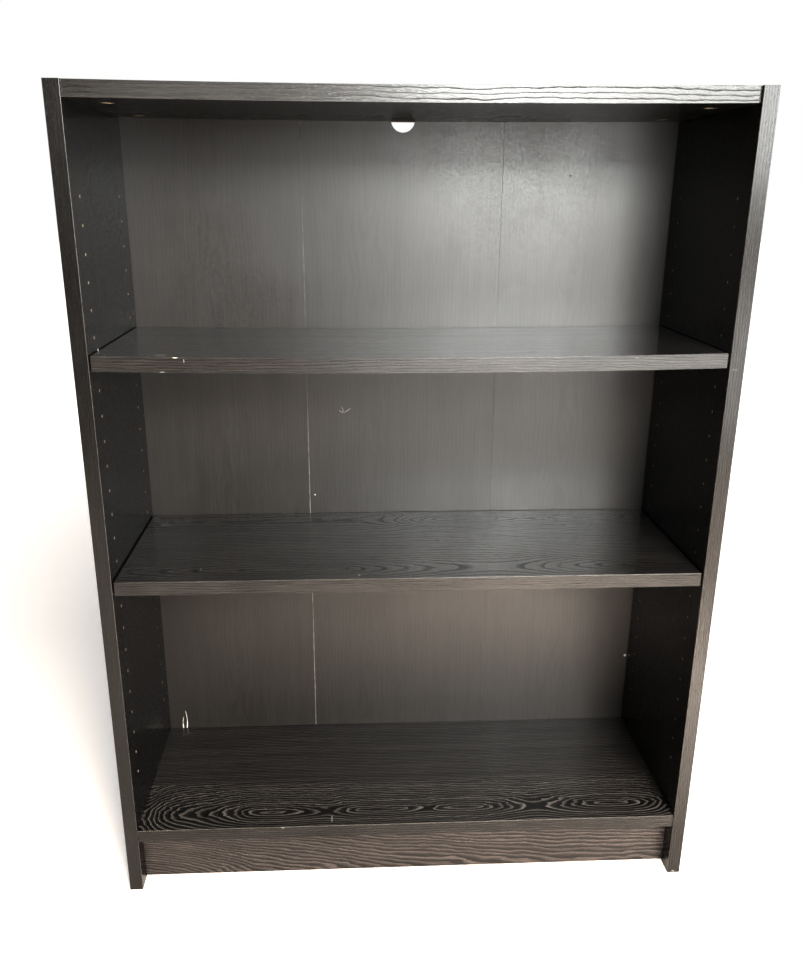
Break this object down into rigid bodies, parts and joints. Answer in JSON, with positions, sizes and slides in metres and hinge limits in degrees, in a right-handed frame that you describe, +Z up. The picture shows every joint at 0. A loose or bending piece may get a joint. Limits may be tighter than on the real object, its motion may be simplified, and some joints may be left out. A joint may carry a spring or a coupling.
{
  "type": "bookcase with adjustable shelves",
  "caption": "Open dark-veneered bookcase: two sides, top, bottom, plinth, folded thin back and adjustable shelves that lift off pins in the sides' rows of holes.",
  "frame": {"origin": "on the floor, under the middle of the bookcase", "axes": "+Z up, +X to the right seen from the front, the open front faces -Y"},
  "size_m": [0.8, 0.28, 1.06],
  "materials": {
    "veneer": "black-brown stained ash veneer, open grain, satin lacquer",
    "edge_band": "black-brown stained veneer edging, satin lacquer",
    "back_foil": "dark printed foil on thin hardboard, semi-gloss, faint upright grain",
    "cam_zinc": "die-cast zinc, dull",
    "bolt_steel": "zinc-plated steel",
    "dowel_beech": "raw beech",
    "nail_steel": "zinc-plated steel",
    "pin_steel": "plated steel"
  },
  "bodies": {
    "case": {"side_panel_left": "veneer", "side_panel_right": "veneer", "top_panel": "veneer", "bottom_panel": "veneer", "plinth": "veneer", "side_band_left": "edge_band", "side_band_right": "edge_band", "top_band": "edge_band", "bottom_band": "edge_band", "back_leaf_left": "back_foil", "back_leaf_centre": "back_foil", "back_leaf_right": "back_foil", "cam_lock_top_front_left": "cam_zinc", "cam_lock_top_front_right": "cam_zinc", "cam_lock_top_rear_left": "cam_zinc", "cam_lock_top_rear_right": "cam_zinc", "cam_lock_bottom_front_left": "cam_zinc", "cam_lock_bottom_front_right": "cam_zinc", "cam_lock_bottom_rear_left": "cam_zinc", "cam_lock_bottom_rear_right": "cam_zinc", "cam_bolt_top_front_left": "bolt_steel", "cam_bolt_top_front_right": "bolt_steel", "cam_bolt_top_rear_left": "bolt_steel", "cam_bolt_top_rear_right": "bolt_steel", "cam_bolt_bottom_front_left": "bolt_steel", "cam_bolt_bottom_front_right": "bolt_steel", "cam_bolt_bottom_rear_left": "bolt_steel", "cam_bolt_bottom_rear_right": "bolt_steel", "dowel_top_left": "dowel_beech", "dowel_top_right": "dowel_beech", "dowel_bottom_left": "dowel_beech", "dowel_bottom_right": "dowel_beech", "dowel_plinth_end_left": "dowel_beech", "dowel_plinth_end_right": "dowel_beech", "dowel_plinth_top_left": "dowel_beech", "dowel_plinth_top_right": "dowel_beech", "back_nail_left_1": "nail_steel", "back_nail_left_2": "nail_steel", "back_nail_left_3": "nail_steel", "back_nail_right_1": "nail_steel", "back_nail_right_2": "nail_steel", "back_nail_right_3": "nail_steel", "shelf_pin_upper_front_left": "pin_steel", "shelf_pin_upper_front_right": "pin_steel", "shelf_pin_upper_rear_left": "pin_steel", "shelf_pin_upper_rear_right": "pin_steel", "shelf_pin_lower_front_left": "pin_steel", "shelf_pin_lower_front_right": "pin_steel", "shelf_pin_lower_rear_left": "pin_steel", "shelf_pin_lower_rear_right": "pin_steel"},
    "upper_shelf": {"shelf_upper": "veneer", "shelf_band_upper": "edge_band"},
    "lower_shelf": {"shelf_lower": "veneer", "shelf_band_lower": "edge_band"}
  },
  "joints": [
    {"name": "upper_shelf_lift", "type": "slide", "parent": "case", "child": "upper_shelf", "axis": [0, 0, 1], "range_m": [0, 0.256]},
    {"name": "lower_shelf_lift", "type": "slide", "parent": "case", "child": "lower_shelf", "axis": [0, 0, 1], "range_m": [0, 0.256]}
  ]
}
